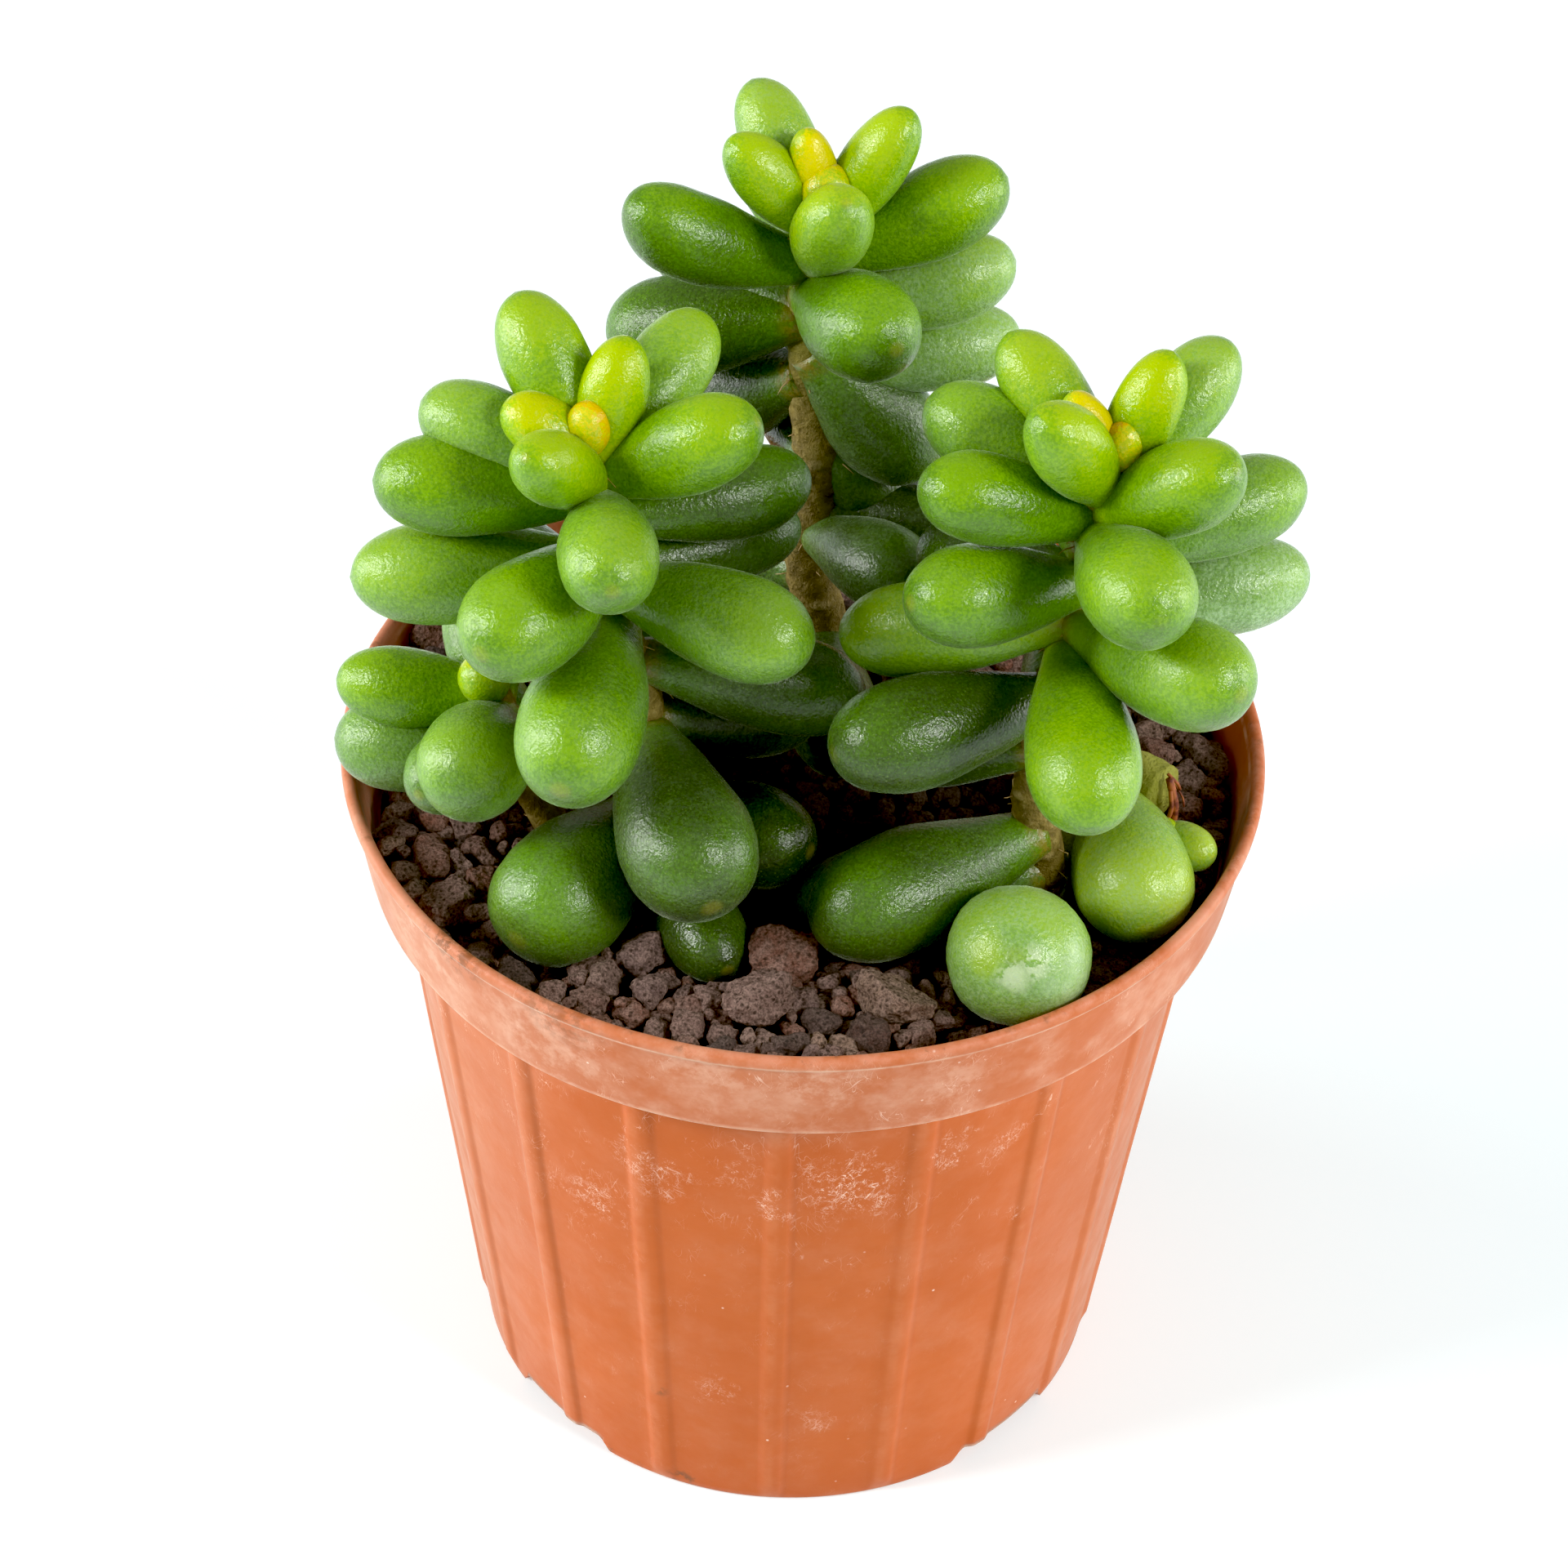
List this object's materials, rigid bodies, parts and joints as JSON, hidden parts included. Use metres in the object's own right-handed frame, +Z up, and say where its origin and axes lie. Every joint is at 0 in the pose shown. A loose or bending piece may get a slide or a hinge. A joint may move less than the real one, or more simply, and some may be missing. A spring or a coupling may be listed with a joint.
{
  "type": "potted succulent plant",
  "caption": "Small sedum with plump club-shaped green leaves on upright stems, growing in a ribbed terracotta-coloured plastic nursery pot topped with brown lava gravel.",
  "frame": {"origin": "on the pot's axis, on the level that the pot's feet stand on", "axes": "+Z up along the pot's axis, -Y towards the front of the plant, +X to its right"},
  "size_m": [0.0554, 0.0552, 0.0855],
  "materials": {
    "pot": "smooth terracotta-coloured plastic with a soft sheen and fine limescale marks",
    "soil": "dark crumbly potting mix",
    "gravel": "porous reddish-brown lava grains",
    "plant": "fleshy waxy green leaves with fine papillae and soft highlights, on brown stems"
  },
  "bodies": {
    "root": {"pot": "pot", "soil": "soil", "gravel": "gravel", "stem_back": "plant", "stem_left": "plant", "stem_right": "plant"}
  },
  "joints": []
}
